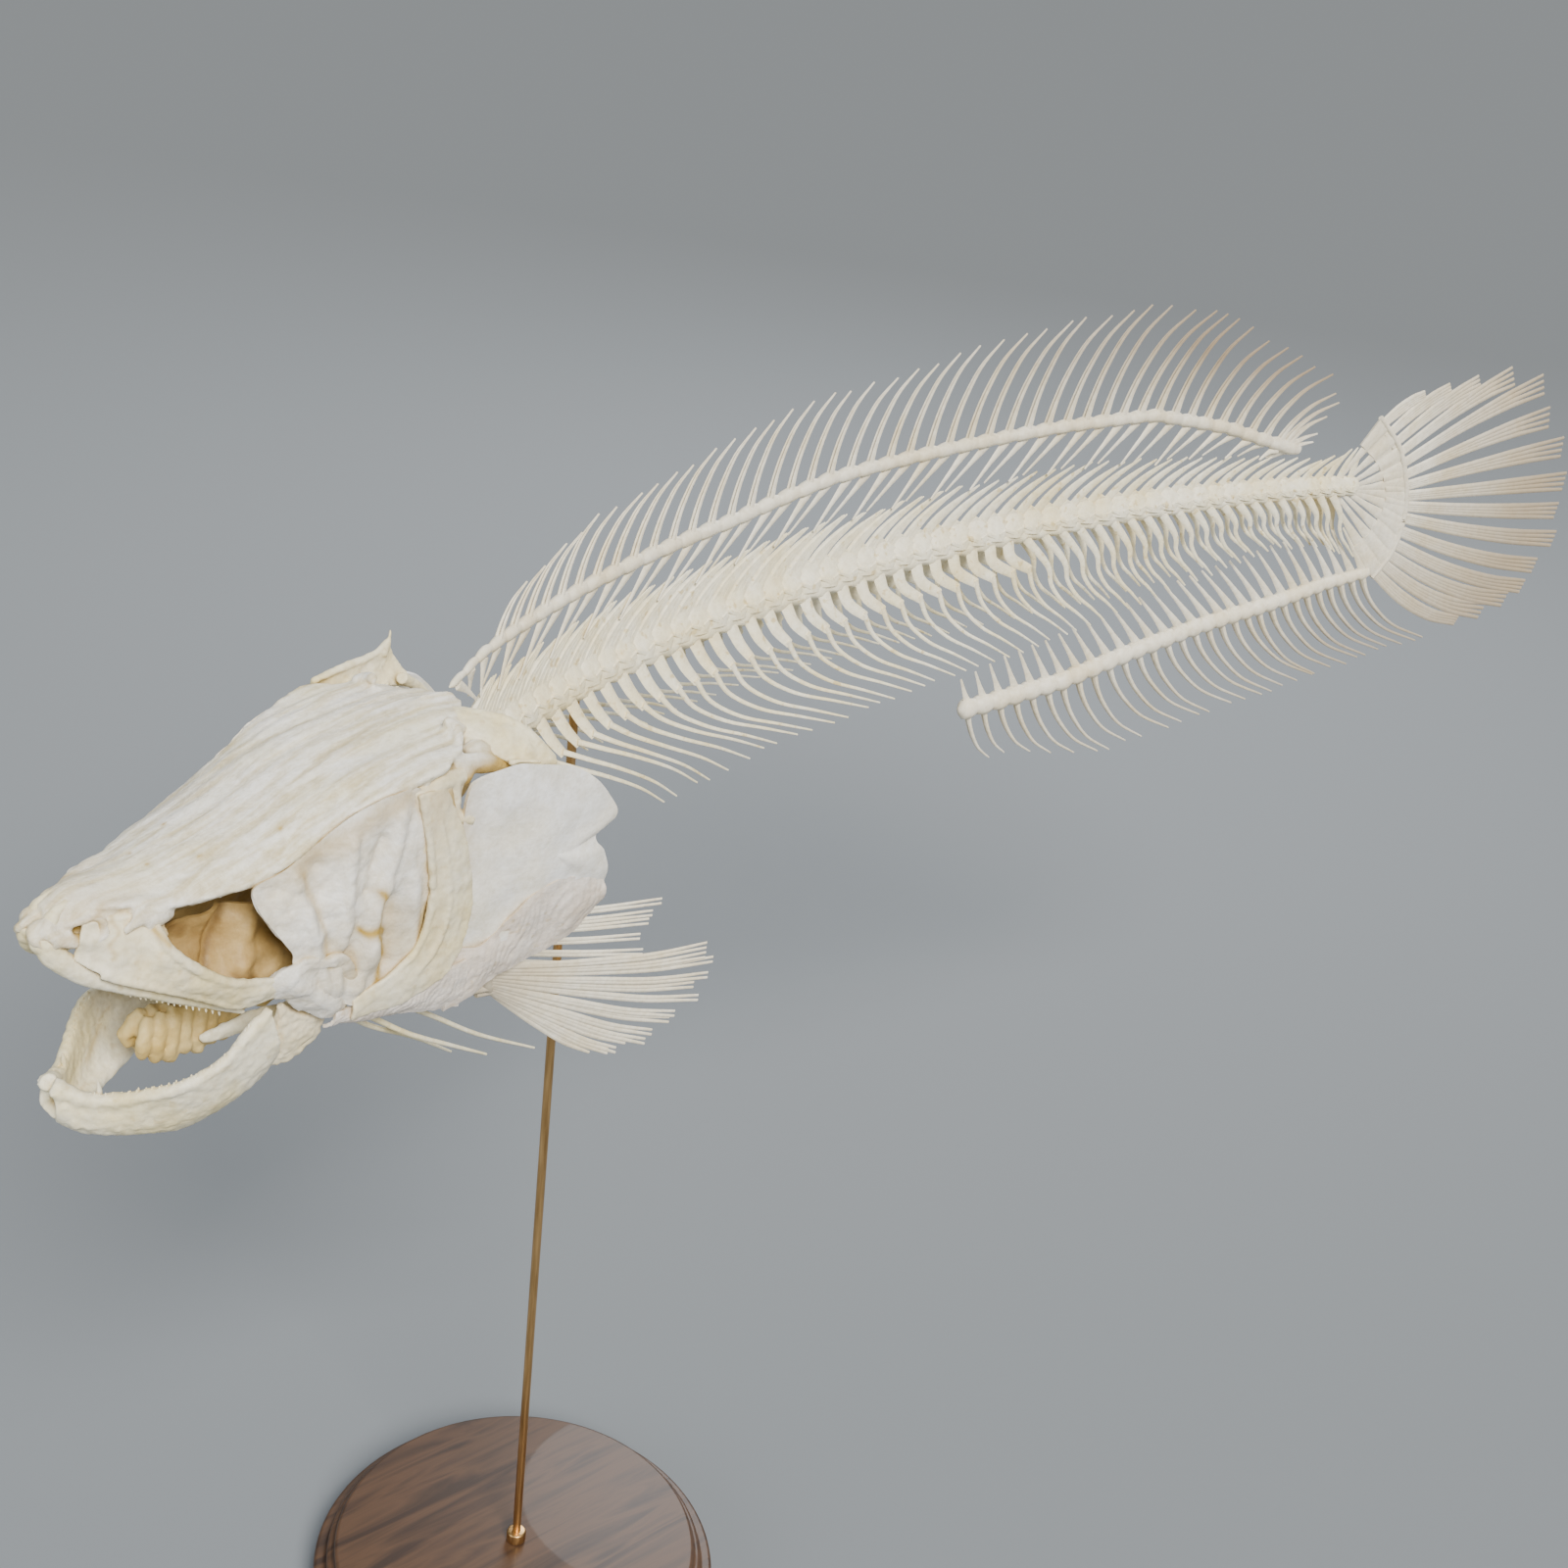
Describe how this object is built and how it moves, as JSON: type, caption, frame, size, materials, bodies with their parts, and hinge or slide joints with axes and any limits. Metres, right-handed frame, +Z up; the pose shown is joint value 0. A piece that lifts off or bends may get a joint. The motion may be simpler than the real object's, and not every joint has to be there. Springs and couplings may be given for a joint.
{
  "type": "mounted fish skeleton",
  "caption": "Museum mount of a snakehead fish skeleton: bent backbone with ribs, long dorsal and anal fins and an open-jawed skull, on a brass rod and a round wooden base.",
  "frame": {"origin": "centre of the stand's underside, where the rod's axis meets the floor", "axes": "+Z up, +X from the skull towards the tail, +Y to the fish's right"},
  "size_m": [0.7286, 0.16, 0.5063],
  "materials": {
    "bone": "dry ivory bone",
    "thin_bone": "thin whitish bone, slightly sheer",
    "fin_rays": "dry fin rays with tan tips",
    "rod": "dull brass",
    "base": "dark oiled wood"
  },
  "bodies": {
    "root": {"stand_base": "base", "stand_rod": "rod", "cranium": "bone", "premaxilla_left": "bone", "maxilla_left": "bone", "premaxilla_right": "bone", "maxilla_right": "bone", "dentary_left": "bone", "articular_left": "bone", "dentary_right": "bone", "articular_right": "bone", "quadrate_left": "bone", "palate_left": "thin_bone", "infraorbital_left": "thin_bone", "hyomandibula_left": "bone", "quadrate_right": "bone", "palate_right": "thin_bone", "infraorbital_right": "thin_bone", "hyomandibula_right": "bone", "preopercle_left": "bone", "opercle_left": "thin_bone", "subopercle_left": "thin_bone", "interopercle_left": "thin_bone", "preopercle_right": "bone", "opercle_right": "thin_bone", "subopercle_right": "thin_bone", "interopercle_right": "thin_bone", "hyoid_left": "bone", "hyoid_right": "bone", "gill_arches": "bone", "posttemporal_left": "bone", "cleithrum_left": "bone", "posttemporal_right": "bone", "cleithrum_right": "bone", "pectoral_fin_left": "fin_rays", "pectoral_fin_right": "fin_rays", "neural_spines_front": "bone", "ribs_front_left": "bone", "ribs_front_right": "bone", "neural_spines_middle": "bone", "ribs_middle_left": "bone", "ribs_middle_right": "bone", "neural_spines_rear": "bone", "ribs_rear_left": "bone", "ribs_rear_right": "bone", "dorsal_fin_front": "fin_rays", "dorsal_fin_middle": "fin_rays", "dorsal_fin_rear": "fin_rays", "anal_fin_front": "fin_rays", "anal_fin_rear": "fin_rays", "tail_fin": "fin_rays"}
  },
  "joints": []
}
